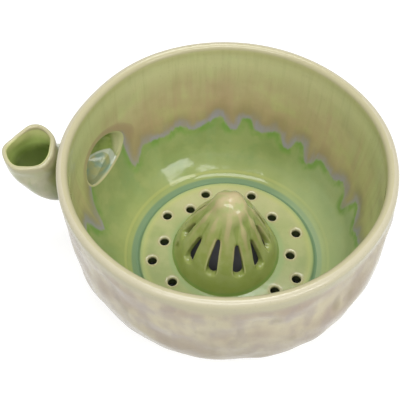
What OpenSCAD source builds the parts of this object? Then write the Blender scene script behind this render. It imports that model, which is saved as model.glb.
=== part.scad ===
// Berry colander bowl of glazed stoneware, in the clay pieces that a potter joins before firing.
// A thrown wall stands round a pierced strainer floor. On the floor sits a slotted, fluted dome,
// a foot ring carries it all, and a short bent spout leaves the left side of the wall.
// The origin is the centre of the foot on the table, +Z is up, and the viewer stands at -Y.

/* [Bowl wall] */
// Diameter over the lip
bowl_d = 170; // [160:1:180]
// Height from the table to the top of the lip
bowl_h = 100; // [96:1:108]
// Thickness of the wall at the lip
wall_t = 5.7; // [5:0.1:6.5]
// How far the belly swells out past the lip
belly_swell = 2.6; // [0:0.1:4]

/* [Foot ring] */
// Diameter over the foot ring
foot_d = 116; // [112:1:122]
// Width of the band that the bowl stands on
foot_w = 8; // [6:0.5:9]
// Height of the foot ring
foot_h = 5; // [4:0.5:7]

/* [Strainer floor] */
// Diameter of the floor disc
floor_d = 108; // [106:1:110]
// Thickness of the floor disc
floor_t = 7; // [6:0.5:8]
// Diameter of each drain hole
hole_d = 5.3; // [4:0.1:6]
// Radius of the outer row of drain holes
outer_row_r = 44.5; // [43:0.5:46]
// Radius of the inner row of drain holes
inner_row_r = 38; // [37:0.5:39]

/* [Strainer dome] */
// Diameter of the dome at its base
dome_d = 63.2; // [60:0.2:65]
// Height of the dome above the floor
dome_h = 52; // [48:1:58]
// Radius of the dome's round cap
cap_r = 11; // [10:0.5:12]
// Thickness of the dome
dome_t = 4; // [3.5:0.1:4.5]
// Number of slots and flutes
slot_count = 11; // [8:1:12]
// Width of a slot at its round bottom
slot_w = 6.6; // [5:0.1:7]
// Height of the middle of a slot's round bottom
slot_low_z = 15.5; // [14:0.5:18]
// Height of the middle of a slot's narrow top
slot_top_z = 31; // [28:0.5:33]

/* [Spout] */
// Outer diameter of the spout's tube
spout_d = 29.4; // [28:0.2:31]
// Bore of the spout's tube
spout_bore_d = 24.4; // [22:0.2:25]
// Height of the tube's level run above the strainer floor
spout_axis_h = 42; // [40:1:44]
// Radius of the bend, on the tube's centre line
bend_r = 21; // [19:0.5:23]
// Height of the upright stretch above the bend
mouth_rise = 6; // [4:0.5:10]
// Distance of the mouth's centre to the left of the bowl's centre
mouth_left = 106.5; // [104:0.5:109]
// Distance of the mouth's centre behind the bowl's centre
mouth_back = 16; // [14:0.5:18]
// How far the spout swings from straight left towards the front, in degrees
swing = 25; // [20:1:30]

/* [Hidden] */
$fn = 96;

// Heights and radii that follow from the sizes above
floor_top = foot_h + floor_t;
lip_r = bowl_d / 2;
lip_round = wall_t / 2;
lip_z = bowl_h - lip_round;
base_r = foot_d / 2 + 5;
floor_edge_r = floor_d / 2;
edge_round = 1.6;
groove_z = floor_top - edge_round;
dome_base_r = dome_d / 2;
dome_hole_r = dome_base_r - dome_t - 0.5;
spout_r = spout_d / 2;
bore_r = spout_bore_d / 2;
axis_z = floor_top + spout_axis_h;
profile_steps = 18;
cut = 1;

// The drain holes were pierced by hand, so their spacing is uneven. They lie by turns on the outer
// and the inner row, and these are their bearings from +X, in degrees.
hole_bearings = [20, 44, 71, 90, 109, 128, 147, 172, 191, 216, 241, 267, 293, 319, 338, 359];

// The slots were cut by eye and drift a few degrees either way of an even spacing
slot_start = 219;
slot_pitch = 360 / slot_count;
slot_drift = 4;
function slot_bearing(i) = slot_start + i * slot_pitch + slot_drift * cos(72 * (i - 2.2));

// Point of a cubic curve with four control points, and a row of such points
function curve_point(p, t) =
    pow(1 - t, 3) * p[0] + 3 * t * pow(1 - t, 2) * p[1]
    + 3 * t * t * (1 - t) * p[2] + pow(t, 3) * p[3];
function curve(p, steps) = [for (i = [0 : steps]) curve_point(p, i / steps)];

// Row of points round a centre, from one angle to another
function arc(centre, r, from, to, steps) = [
    for (i = [0 : steps])
        let (a = from + (to - from) * i / steps)
        centre + r * [cos(a), sin(a)]
];

// Outside of the wall, from the foot up to the lip
outer_curve = curve([
    [base_r, foot_h],
    [lip_r - 0.5, 0.347 * bowl_h],
    [lip_r + belly_swell, 0.48 * bowl_h],
    [lip_r, lip_z]
], profile_steps);

// Inside of the wall, from the lip down to the groove round the floor
inner_curve = curve([
    [lip_r - wall_t, lip_z],
    [lip_r - 4.5, 0.643 * bowl_h],
    [lip_r - 3.8, 0.321 * bowl_h],
    [floor_edge_r + 1, groove_z]
], profile_steps);

// Profile of the dome, drawn in by a given amount: a long arc for the flank that runs smoothly
// into the round cap. The flank's radius follows from its two ends and the slope at the cap.
cap_slope = 32;
module dome_profile(inset) {
    along = [cos(cap_slope), sin(cap_slope)];
    cap_centre = [0, dome_h - cap_r];
    joint = cap_centre + cap_r * along;
    chord = joint - [dome_base_r, 0];
    flank_r = (chord * chord) / (2 * chord * along);
    flank_centre = joint - flank_r * along;
    intersection() {
        translate(flank_centre) circle(r = flank_r - inset, $fn = 720);
        polygon([
            [0, 0],
            [dome_d, 0],
            cap_centre + 2 * dome_d * along,
            cap_centre
        ]);
    }
    intersection() {
        translate(cap_centre) circle(r = cap_r - inset, $fn = 96);
        polygon([cap_centre, cap_centre + dome_d * along, [0, 2 * dome_h]]);
    }
}

// Wall of the bowl: one profile turned round the axis, with a round lip, and the spout's port
// cut slantwise through it by the spout's own bore.
module bowl_wall() {
    color("darkkhaki")
    difference() {
        rotate_extrude($fn = 180)
            polygon(concat(
                outer_curve,
                arc([lip_r - lip_round, lip_z], lip_round, 0, 180, 12),
                inner_curve,
                [[floor_edge_r, groove_z], [floor_edge_r, foot_h]]
            ));
        place_spout() level_run(bore_r);
    }
}

// Pierced disc that the wall stands round. Its rounded upper edge and the foot of the wall's
// inside curve form the groove in which glaze pools.
module strainer_floor() {
    color("yellowgreen")
    difference() {
        rotate_extrude($fn = 180)
            polygon(concat(
                [[dome_hole_r, foot_h], [floor_edge_r, foot_h]],
                arc([floor_edge_r - edge_round, groove_z], edge_round, 0, 90, 5),
                [[dome_hole_r, floor_top]]
            ));
        for (i = [0 : len(hole_bearings) - 1])
            rotate([0, 0, hole_bearings[i]])
                translate([i % 2 == 0 ? outer_row_r : inner_row_r, 0, foot_h - cut])
                    cylinder(h = floor_t + 2 * cut, d = hole_d, $fn = 32);
    }
}

// Foot ring under the seam of wall and floor, turned with its edges taken off
module foot_ring() {
    foot_r = foot_d / 2;
    bevel = 1.4;
    color("darkkhaki")
    rotate_extrude($fn = 180)
        polygon([
            [foot_r - foot_w, foot_h],
            [foot_r - foot_w, bevel],
            [foot_r - foot_w + bevel, 0],
            [foot_r - bevel, 0],
            [foot_r, bevel],
            [foot_r, foot_h]
        ]);
}

// Hollow dome in the middle of the floor, open beneath. Flutes run up its flank to the cap, and
// a slot is cut through the lower part of each flute, so that ribs stand between them.
module strainer_dome() {
    color("olivedrab")
    translate([0, 0, floor_top])
    difference() {
        rotate_extrude($fn = 120) dome_profile(0);
        rotate_extrude($fn = 120) dome_profile(dome_t);
        for (i = [0 : slot_count - 1])
            rotate([0, 0, slot_bearing(i)]) {
                flute();
                slot();
            }
    }
}

// Drop-shaped slot, level through the flank: a wide round bottom that narrows upwards
module slot() {
    top_r = 0.9;
    low_r = slot_w / 2;
    rise = slot_top_z - slot_low_z;
    lean = asin((low_r - top_r) / rise);
    translate([cap_r * 0.7, 0, slot_low_z])
        rotate([90, 0, 90])
            linear_extrude(dome_base_r) {
                circle(r = low_r, $fn = 40);
                translate([0, rise]) circle(r = top_r, $fn = 24);
                polygon([
                    low_r * [cos(lean), sin(lean)],
                    [0, rise] + top_r * [cos(lean), sin(lean)],
                    [0, rise] + top_r * [-cos(lean), sin(lean)],
                    low_r * [-cos(lean), sin(lean)]
                ]);
            }
}

// Shallow flute: a slender cone with a round foot, laid along the flank and sunk a little into it
module flute() {
    low_r = 6.2;
    top_r = 3.2;
    depth = 1.2;
    low = [dome_base_r - 5.6, 14];
    top = [cap_r + 2.6, dome_h - cap_r - 0.5];
    run = top - low;
    length = norm(run);
    lean = atan2(run[0], run[1]);
    out = [cos(lean), -sin(lean)];
    start = low + (low_r - depth) * out;
    translate([start[0], 0, start[1]])
        rotate([0, lean, 0])
            rotate_extrude($fn = 48) {
                polygon([[0, 0], [low_r, 0], [top_r, length], [0, length]]);
                intersection() {
                    circle(r = low_r, $fn = 48);
                    translate([0, -low_r]) square(low_r);
                }
            }
}

// Puts the spout's level run on its line: the local origin is where the bend begins, and
// local +X points outwards
module place_spout() {
    translate([-mouth_left, mouth_back, axis_z])
        rotate([0, 0, 180 + swing])
            translate([-bend_r, 0, 0])
                children();
}

// Level stretch of the tube, from well inside the wall to the start of the bend
module level_run(r) {
    translate([-30, 0, 0])
        rotate([0, 90, 0])
            cylinder(h = 30, r = r, $fn = 64);
}

// Bend that turns the tube from level to upright
module bend(r) {
    translate([0, 0, bend_r])
        rotate([90, 0, 0])
            rotate([0, 0, -90])
                rotate_extrude(angle = 90, $fn = 96)
                    translate([bend_r, 0]) circle(r = r, $fn = 64);
}

// Upright stretch of the tube, up to where its lip is rounded
module upright_run(r) {
    translate([bend_r, 0, bend_r])
        cylinder(h = mouth_rise, r = r, $fn = 64);
}

// Spout: a hollow elbow whose root lies against the outside of the wall and whose round mouth
// faces up
module spout() {
    mouth_round = (spout_r - bore_r) / 2;
    color("khaki")
    difference() {
        place_spout() {
            difference() {
                union() {
                    level_run(spout_r);
                    bend(spout_r);
                    upright_run(spout_r);
                }
                level_run(bore_r);
                bend(bore_r);
                upright_run(bore_r + 0.001);
            }
            translate([bend_r, 0, bend_r + mouth_rise])
                rotate_extrude($fn = 64)
                    translate([spout_r - mouth_round, 0]) circle(r = mouth_round, $fn = 24);
        }
        rotate_extrude($fn = 180)
            polygon(concat([[0, foot_h]], outer_curve, [[0, lip_z]]));
    }
}

bowl_wall();
strainer_floor();
foot_ring();
strainer_dome();
spout();
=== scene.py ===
"""Berry colander bowl: a hand-thrown stoneware bowl with a pierced floor, a slotted dome and a spout.

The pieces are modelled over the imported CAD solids, in the same frame: metres, the table at z = 0,
+Z up the bowl's axis and the viewer at -Y. The sizes below are in millimetres.
"""

from contextlib import contextmanager
from math import atan2, cos, degrees, exp, hypot, pi, radians, sin, sqrt

import bmesh
import bpy
import numpy as np
from mathutils import Matrix, Vector


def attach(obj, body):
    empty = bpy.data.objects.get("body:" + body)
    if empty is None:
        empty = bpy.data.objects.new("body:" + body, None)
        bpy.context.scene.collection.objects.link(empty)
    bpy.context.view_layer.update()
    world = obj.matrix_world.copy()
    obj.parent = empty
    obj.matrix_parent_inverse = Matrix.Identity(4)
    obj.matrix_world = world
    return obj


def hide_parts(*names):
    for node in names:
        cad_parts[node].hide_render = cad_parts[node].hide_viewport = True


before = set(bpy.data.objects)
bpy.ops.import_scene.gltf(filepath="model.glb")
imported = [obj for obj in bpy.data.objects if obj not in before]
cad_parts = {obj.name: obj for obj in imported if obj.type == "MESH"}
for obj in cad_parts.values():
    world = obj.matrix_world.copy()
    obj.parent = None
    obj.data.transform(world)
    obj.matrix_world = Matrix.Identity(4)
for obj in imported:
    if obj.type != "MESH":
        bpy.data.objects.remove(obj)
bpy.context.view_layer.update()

MM = 0.001

# Wall and lip
LIP_R = 85.0
LIP_ROUND = 2.85
LIP_Z = 100 - LIP_ROUND
BASE_R = 63.0
FOOT_H = 5.0
OUTER_CURVE = ((BASE_R, FOOT_H), (LIP_R - 0.5, 34.7), (LIP_R + 2.6, 48), (LIP_R, LIP_Z))
INNER_CURVE = ((LIP_R - 2 * LIP_ROUND, LIP_Z), (LIP_R - 4.5, 64.3), (LIP_R - 3.8, 32.1), (56.5, 11))

# Groove round the floor: its lowest line, where the wall and the floor meet
GROOVE_R = 54.0
GROOVE_Z = 9.95

# Control points of the wall's curve down into the groove
GROOVE_BEND = ((58.5, 11.9), (56.0, 10.8))

# How far the floor with its groove, and the dome, stand off the lip's middle, as thrown by hand
FLOOR_OFF = (2.1, -1.2)
DOME_OFF = (1.5, -0.2)

# Strainer floor: its rounded edge, its opening under the hollow dome, and its drain holes
FLOOR_TOP = 12.0
FLOOR_EDGE = ((52.2, GROOVE_Z), (52.3, FLOOR_TOP), (50.4, FLOOR_TOP))
HOLLOW_R = 27.1
HOLE_R = 2.65
ROW_RADII = (44.5, 38.0)
HOLE_BEARINGS = (20, 44, 71, 90, 109, 128, 147, 172, 191, 216, 241, 267, 293, 319, 338, 359)

# Dome: base radius, height, round cap and the slope where the cap meets the flank
DOME_R = 31.6
DOME_H = 52.0
CAP_R = 11.0
CAP_SLOPE = radians(32)
DOME_T = 4.0
SLOT_COUNT = 11

# Foot ring
FOOT_R = 58.0
FOOT_W = 8.0

# Spout: the middle of its mouth, and a frame that has the start of the bend as origin and +X
# pointing out of the bowl
MOUTH = Vector((-106.5, 16, 81))
TUBE_R = 14.7
BORE_R = 12.2
BEND_R = 21.0
MOUTH_RISE = 6.0
MOUTH_ROUND = 1.15
SWING = radians(205)
SPOUT_START = Vector((
    MOUTH.x - BEND_R * cos(SWING), MOUTH.y - BEND_R * sin(SWING), MOUTH.z - MOUTH_RISE - BEND_R,
)) * MM
SPOUT_FRAME = Matrix.Translation(SPOUT_START) @ Matrix.Rotation(SWING, 4, "Z")

# How far round the bend the tube is spun, in degrees, before it is bridged to its root
BEND_TURN = 68

# How finely the round pieces are divided
TURN_STEPS = 288
DISC_STEPS = 216
TUBE_STEPS = 96
RISE_STEPS = 5
BEND_STEPS = 16


# Tools of the bench


def take(piece):
    """Leaves this piece as the only selected one, and the active one."""
    bpy.ops.object.select_all(action="DESELECT")
    piece.select_set(True)
    bpy.context.view_layer.objects.active = piece


@contextmanager
def hands_on(piece):
    """Edit mode on one piece, with all of it selected, left again at the end."""
    take(piece)
    bpy.ops.object.mode_set(mode="EDIT")
    bpy.ops.mesh.select_mode(type="VERT")
    bpy.ops.mesh.select_all(action="SELECT")
    yield
    bpy.ops.object.mode_set(mode="OBJECT")


def pick(piece, kind, passes):
    """In edit mode, selects only the vertices, edges or faces that pass a test."""
    bpy.ops.mesh.select_mode(type=kind)
    bpy.ops.mesh.select_all(action="DESELECT")
    mesh = bmesh.from_edit_mesh(piece.data)
    parts = {"VERT": mesh.verts, "EDGE": mesh.edges, "FACE": mesh.faces}[kind]
    for part in parts:
        if passes(part):
            part.select_set(True)
    bmesh.update_edit_mesh(piece.data)


def fresh(name):
    """Names the primitive that was just added and bakes its place into its mesh."""
    made = bpy.context.object
    made.name = name
    bpy.ops.object.transform_apply(location=True, rotation=True, scale=True)
    return made


def draw(name, points):
    """Draws a line of (radius, height) points in the XZ plane, extruding corner after corner."""
    bpy.ops.object.select_all(action="DESELECT")
    start = (points[0][0] * MM, 0, points[0][1] * MM)
    bpy.ops.mesh.primitive_plane_add(size=MM, location=start)
    line = fresh(name)
    with hands_on(line):
        bpy.ops.mesh.merge(type="CENTER")
        for here, there in zip(points, points[1:]):
            step = ((there[0] - here[0]) * MM, 0, (there[1] - here[1]) * MM)
            bpy.ops.mesh.extrude_region_move(TRANSFORM_OT_translate={"value": step})
    return line


def turn(line, steps=TURN_STEPS):
    """Turns a drawn line round the bowl's axis, closes the seam and points the faces outwards."""
    with hands_on(line):
        bpy.ops.mesh.spin(steps=steps, angle=2 * pi, center=(0, 0, 0), axis=(0, 0, 1))
        bpy.ops.mesh.select_all(action="SELECT")
        bpy.ops.mesh.remove_doubles(threshold=0.01 * MM)
        bpy.ops.mesh.normals_make_consistent(inside=False)
    return line


def apply(piece, kind, **settings):
    """Adds a modifier with its settings and applies it."""
    take(piece)
    modifier = piece.modifiers.new(kind.lower(), kind)
    for key, value in settings.items():
        setattr(modifier, key, value)
    bpy.ops.object.modifier_apply(modifier=modifier.name)


def mark(piece, name, weight):
    """Puts every vertex for which weight gives more than nothing into a vertex group."""
    made = piece.vertex_groups.new(name=name)
    for vertex in piece.data.vertices:
        much = weight(vertex)
        if much > 0:
            made.add([vertex.index], min(much, 1), "REPLACE")


def marked(piece, *names):
    """Numbers of the vertices that lie fully in any of the named groups."""
    wanted = {piece.vertex_groups[name].index for name in names}
    return {
        v.index
        for v in piece.data.vertices
        if any(g.group in wanted and g.weight > 0.99 for g in v.groups)
    }


def twin(piece, name):
    """A copy with its own mesh."""
    made = piece.copy()
    made.data = piece.data.copy()
    made.name = name
    bpy.context.scene.collection.objects.link(made)
    return made


def join(pieces, name):
    """Joins pieces into the first of them, under a new name."""
    take(pieces[0])
    for piece in pieces[1:]:
        piece.select_set(True)
    bpy.ops.object.join()
    made = bpy.context.object
    made.name = name
    return made


def bridge(piece, loops, cuts=0, smooth=False):
    """Bridges two open loops, given as the groups that they lie in."""
    wanted = marked(piece, *loops)
    shape = "SURFACE" if smooth else "LINEAR"
    with hands_on(piece):
        pick(piece, "EDGE", lambda e: len(e.link_faces) < 2 and all(v.index in wanted for v in e.verts))
        bpy.ops.mesh.bridge_edge_loops(number_cuts=cuts, interpolation=shape, smoothness=1)


def lumpy(piece, name, size, depth, level, group):
    """Gives the clay soft lumps, so many millimetres across and so deep, where a group of vertices
    lets them. The surface stays put where their noise is at the level."""
    lumps = bpy.data.textures.new(name, "CLOUDS")
    lumps.noise_scale = size * MM
    lumps.noise_depth = 0
    apply(
        piece, "DISPLACE", texture=lumps, texture_coords="LOCAL", direction="NORMAL",
        mid_level=level, strength=depth * MM, vertex_group=group,
    )


# How wide a fingertip grips the clay that it pushes
GRIP = 2.6


def push(piece, where, move, reach, one_skin=False):
    """Pushes the clay at a place, and less and less out to its reach, or along its own skin only."""
    with hands_on(piece):
        pick(piece, "VERT", lambda v: (v.co - where * MM).length < GRIP * MM)
        bpy.ops.transform.translate(
            value=[m * MM for m in move], use_proportional_edit=True,
            proportional_edit_falloff="SMOOTH", proportional_size=reach * MM,
            use_proportional_connected=one_skin,
        )


def bearing(co):
    """Bearing of a point from +X round the bowl's axis, from 0 to 360 degrees."""
    return degrees(atan2(co[1], co[0])) % 360


def faces_axis(v):
    """Whether the surface at a vertex looks inwards, at the bowl's axis."""
    return v.normal.x * v.co.x + v.normal.y * v.co.y < 0


# Lines of the profile


def curve(corners, steps):
    """Points of a cubic curve with four control points."""
    out = []
    for i in range(steps + 1):
        t = i / steps
        weights = ((1 - t) ** 3, 3 * t * (1 - t) ** 2, 3 * t * t * (1 - t), t**3)
        out.append(tuple(sum(w * c[k] for w, c in zip(weights, corners)) for k in (0, 1)))
    return out


def arc(centre, r, start, end, steps):
    """Points round a centre from one angle to another, in degrees."""
    angles = [radians(start + (end - start) * i / steps) for i in range(steps + 1)]
    return [(centre[0] + r * cos(a), centre[1] + r * sin(a)) for a in angles]


def thumbed(points, marks, side):
    """Presses the potter's finger marks into a line: each is (height, depth, half width)."""
    out = []
    for r, z in points:
        pressed = sum(depth * exp(-(((z - height) / width) ** 2)) for height, depth, width in marks)
        out.append((r - side * pressed, z))
    return out


# Finger marks up the wall, as thumbed takes them
OUTSIDE_MARKS = ((91.6, 0.45, 1.4), (86.5, -0.2, 1.6), (76, 0.2, 4), (60, 0.22, 5), (43, 0.25, 4))
INSIDE_MARKS = (
    (90.5, 0.14, 2), (83, -0.12, 3), (72, 0.14, 3.5), (61, -0.12, 3), (47, 0.15, 3.5), (23, 1.8, 9),
)


# Wall, with its lip and the port into the spout


def turned_wall():
    """The wall in one turn: up the outside, over the lip and down the inside to the groove, where
    the last two points of the inner line make room for a turned edge."""
    outside = thumbed(curve(OUTER_CURVE, 54), OUTSIDE_MARKS, 1)
    lip = arc((LIP_R - LIP_ROUND, LIP_Z), LIP_ROUND, 0, 180, 14)
    inside = thumbed(curve(INNER_CURVE, 52), INSIDE_MARKS, -1)[:-2]
    groove = curve((inside[-1], *GROOVE_BEND, (GROOVE_R, GROOVE_Z)), 16)
    seam = [(GROOVE_R, FOOT_H), (BASE_R, FOOT_H)]
    return turn(draw("thrown_wall", outside + lip[1:] + inside[1:] + groove[1:] + seam))


def dimple(wall):
    """Gives the outside the soft dimples that fingers leave when wet clay is lifted and scraped."""
    def weight(v):
        """Whole on the belly, and fading to nothing at the foot and at the lip."""
        height = v.co.z / MM
        rise = max(0, min((height - 6) / 8, 1))
        fall = max(0, min((92 - height) / 8, 1))
        return 0 if faces_axis(v) else rise * fall

    mark(wall, "dimpled", weight)
    lumpy(wall, "palm_dents", 24, 2.6, 0.66, "dimpled")
    lumpy(wall, "finger_dents", 12, 1.1, 0.66, "dimpled")


# Where the wall left the round: bearing, radius, height, how far outwards it went, and how far
# round that place. The first five are at the lip, the rest on the belly
WALL_PUSHES = (
    (158, 82, 98, -0.6, 30), (144, 82, 98, -0.9, 34), (18, 82, 98, 0.6, 40), (320, 82, 98, -0.5, 34),
    (250, 82, 98, 0.3, 30), (299, 84, 48, 2.6, 30), (318, 85, 58, 2.7, 34), (337, 86, 66, 2.0, 30),
    (243, 82, 40, 1.5, 26), (186, 86, 66, 1.2, 30),
)


def wobble(wall):
    """Takes the wall a little off the round, and the groove off the lip's middle with the floor."""
    for angle, radius, height, out, reach in WALL_PUSHES:
        x, y = cos(radians(angle)), sin(radians(angle))
        push(wall, Vector((radius * x, radius * y, height)), (out * x, out * y, 0), reach)

    def weight(v):
        """Whole at the groove and under it, and fading to nothing up the inside."""
        if not faces_axis(v) and hypot(v.co.x, v.co.y) > 57 * MM:
            return 0
        share = max(0, min((38 - v.co.z / MM) / 26, 1))
        return share * share * (3 - 2 * share)

    mark(wall, "floor_side", weight)
    for direction, much in zip("XY", FLOOR_OFF):
        apply(
            wall, "DISPLACE", direction=direction, mid_level=0, strength=much * MM,
            vertex_group="floor_side",
        )


def ring(name, radius, x, oval=None):
    """Upright ring round the level axis of the spout, in the spout's frame. An oval gives the two
    radii, how far it leans and where its middle is."""
    bpy.ops.object.select_all(action="DESELECT")
    bpy.ops.mesh.primitive_circle_add(
        vertices=TUBE_STEPS, radius=radius * MM, location=(x * MM, 0, 0), rotation=(0, pi / 2, 0)
    )
    made = fresh(name)
    mark(made, name, lambda v: 1)
    if oval:
        wide, high, lean, y, z = oval
        middle = (x * MM, 0, 0)
        with hands_on(made):
            stretch = (1, (wide + radius) / radius, (high + radius) / radius)
            bpy.ops.transform.resize(value=stretch, center_override=middle)
            bpy.ops.transform.rotate(value=-lean, orient_axis="X", center_override=middle)
            bpy.ops.transform.translate(value=(0, y * MM, z * MM))
    made.matrix_world = SPOUT_FRAME
    return made


def fitted_ring(name, radius, wall, inside, off=0, oval=None):
    """Ring that starts well inside or outside the bowl, is slid along the spout's axis until it
    lies on that side of the wall, and is then drawn off it by so much."""
    made = ring(name, radius, -42 if inside else 14, oval)
    apply(
        made, "SHRINKWRAP", target=wall, wrap_method="PROJECT", use_project_x=True,
        use_positive_direction=inside, use_negative_direction=not inside,
    )
    take(made)
    bpy.ops.object.transform_apply(location=True, rotation=True, scale=True)
    if off:
        away = SPOUT_FRAME.to_3x3() @ Vector((off * MM, 0, 0))
        with hands_on(made):
            bpy.ops.transform.translate(value=away)
    return made


# Bearing of the port on the inside of the wall, and of the spout's root on its outside
PORT_BEARING = 155
ROOT_BEARING = 160


def open_patch(wall, name, middle, inside):
    """Takes out a patch of the wall round the port and marks the loop that is left."""
    wide, low, high = 19.5, 36.5, 76

    def weight(v):
        turned = abs(bearing(v.co) - middle) < wide
        return turned and low * MM < v.co.z < high * MM and faces_axis(v) == inside

    mark(wall, name, weight)
    gone = marked(wall, name)
    with hands_on(wall):
        pick(wall, "FACE", lambda f: all(v.index in gone for v in f.verts))
        bpy.ops.mesh.delete(type="FACE")


def weave_in(wall, patch, loop, whole):
    """Fills the patch round a ring with faces that lie on the wall as it was."""
    before = len(wall.data.vertices)
    bridge(wall, (patch, loop), cuts=5)
    mark(wall, patch + "_fill", lambda v: v.index >= before)
    apply(
        wall, "SHRINKWRAP", target=whole, wrap_method="NEAREST_SURFACEPOINT",
        vertex_group=patch + "_fill",
    )


# The port as it is cut into the inner wall, by hand and wider than the bore: its two radii less
# the bore's, its lean and the place of its middle in the spout's frame
PORT_OVAL = (-0.4, 0.5, 0.76, 2.0, 2.2)

# Rings from the wall over the port's rounded edge into the bore: how much wider than the oval and
# how far out along the bore
PORT_EDGE = (
    (3.9, 0), (2.8, 0), (1.7, -0.12), (1.0, -0.24), (0.4, -0.1), (0.05, 0.35), (-0.1, 1.2),
)


def cut_port(wall, whole):
    """Cuts the oval port slantwise through the wall into the spout's bore, with a rounded edge."""
    open_patch(wall, "patch_inside", PORT_BEARING, True)
    open_patch(wall, "patch_outside", ROOT_BEARING, False)
    rings = [
        fitted_ring(f"port_{i}", BORE_R + wider, whole, True, off, PORT_OVAL)
        for i, (wider, off) in enumerate(PORT_EDGE)
    ]
    far = fitted_ring("port_outside", BORE_R, whole, False)
    wall = join([wall, *rings, far], "thrown_wall")
    last = len(rings) - 1
    weave_in(wall, "patch_inside", "port_0", whole)
    weave_in(wall, "patch_outside", "port_outside", whole)
    for i in range(last):
        bridge(wall, (f"port_{i}", f"port_{i + 1}"))
    before = len(wall.data.vertices)
    bridge(wall, (f"port_{last}", "port_outside"), cuts=5)
    mark(wall, "tunnel", lambda v: v.index >= before)
    with hands_on(wall):
        bpy.ops.mesh.normals_make_consistent(inside=False)
    return wall


# Spout


def elbow(name, radius):
    """Skin of the tube from its mouth down and round the bend, in the spout's frame."""
    bpy.ops.object.select_all(action="DESELECT")
    top = (BEND_R + MOUTH_RISE) * MM
    bpy.ops.mesh.primitive_circle_add(
        vertices=TUBE_STEPS, radius=radius * MM, location=(BEND_R * MM, 0, top)
    )
    skin = fresh(name)
    mark(skin, name + "_mouth", lambda v: 1)
    with hands_on(skin):
        for _ in range(RISE_STEPS):
            bpy.ops.mesh.extrude_region_move(
                TRANSFORM_OT_translate={"value": (0, 0, -MOUTH_RISE / RISE_STEPS * MM)}
            )
        bpy.ops.mesh.spin(
            steps=BEND_STEPS, angle=-radians(BEND_TURN), center=(0, 0, BEND_R * MM), axis=(0, 1, 0)
        )
    bottom = {v.index for v in skin.data.vertices if v.select}
    mark(skin, name + "_end", lambda v: v.index in bottom)
    # Extruded rings copy the mouth's group, so it is marked again by height
    skin.vertex_groups.remove(skin.vertex_groups[name + "_mouth"])
    mark(skin, name + "_mouth", lambda v: v.co.z > top - 0.1 * MM)
    skin.matrix_world = SPOUT_FRAME
    take(skin)
    bpy.ops.object.transform_apply(location=True, rotation=True, scale=True)
    return skin


# Rings of the fillet at the spout's root: how much wider than the tube, and how far off the wall
ROOT_FILLET = ((0, 2.6), (0.35, 1.3), (1.0, 0.45), (2.2, -0.1))


def built_spout(wall):
    """Both skins of the spout, joined at the lip, with a fillet where its root meets the wall."""
    skins = [elbow("outer", TUBE_R), elbow("inner", BORE_R)]
    roots = [
        fitted_ring(f"root_{i}", TUBE_R + wider, wall, False, off)
        for i, (wider, off) in enumerate(ROOT_FILLET)
    ]
    bore_ring = fitted_ring("root_bore", BORE_R, wall, False)
    spout = join([*skins, *roots, bore_ring], "joined_spout")
    for i in range(3):
        bridge(spout, (f"root_{i}", f"root_{i + 1}"))
    bridge(spout, ("outer_end", "root_0"), cuts=12, smooth=True)
    bridge(spout, ("inner_end", "root_bore"), cuts=12, smooth=True)
    bridge(spout, ("root_3", "root_bore"))
    close_mouth(spout)
    for where, move, reach, one_skin in SQUEEZES:
        push(spout, where, move, reach, one_skin)
    return spout


def close_mouth(spout):
    """Draws the outer rim of the mouth in to the inner one, and rounds the lip."""
    rim = marked(spout, "outer_mouth")
    middle = SPOUT_FRAME @ (Vector((BEND_R, 0, BEND_R + MOUTH_RISE)) * MM)
    narrow = BORE_R / TUBE_R

    def on_rim(e):
        level = all(abs(v.co.z - middle.z) < 0.05 * MM for v in e.verts)
        reach = [(v.co - middle).length for v in e.verts]
        return level and abs(reach[0] - reach[1]) < 0.1 * MM

    with hands_on(spout):
        pick(spout, "EDGE", lambda e: all(v.index in rim for v in e.verts))
        bpy.ops.mesh.extrude_region_move(TRANSFORM_OT_translate={"value": (0, 0, 0)})
        bpy.ops.transform.resize(value=(narrow, narrow, 1), center_override=middle)
        bpy.ops.mesh.select_all(action="SELECT")
        bpy.ops.mesh.remove_doubles(threshold=0.05 * MM)
        bpy.ops.mesh.normals_make_consistent(inside=False)
        pick(spout, "EDGE", on_rim)
        bpy.ops.mesh.bevel(offset=MOUTH_ROUND * MM, segments=5, profile=0.5, affect="EDGES")


# How fingers squeezed the spout while it was soft: where, in millimetres, which way, how far round
# that place the clay gave, and whether only the skin that was touched gave
SQUEEZES = (
    (MOUTH + Vector((-1, -13.5, 0)), (-0.4, -1.2, -0.9), 13, False),
    (MOUTH + Vector((0, 13.5, 0)), (0, 1.0, 1.6), 13, False),
    (MOUTH + Vector((-10, 10, 0)), (1.6, -1.9, -0.3), 12, False),
    (MOUTH + Vector((-1, -13.5, -9)), (0.3, 1.3, 0), 6, False),
    (MOUTH + Vector((11.4, -3, -3)), (-2.1, 0.3, 0), 11, True),
    (MOUTH + Vector((2, -11.6, -3)), (0, 1.0, 0), 9, True),
    (Vector((-93, 19, 39.5)), (0.2, -0.8, -4.8), 18, False),
    (Vector((-101, 6, 48)), (0, -1.7, -1.7), 15, False),
    (MOUTH + Vector((12, -8.6, -1.5)), (1.4, -0.9, -0.9), 11, True),
)


# Strainer floor


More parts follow.
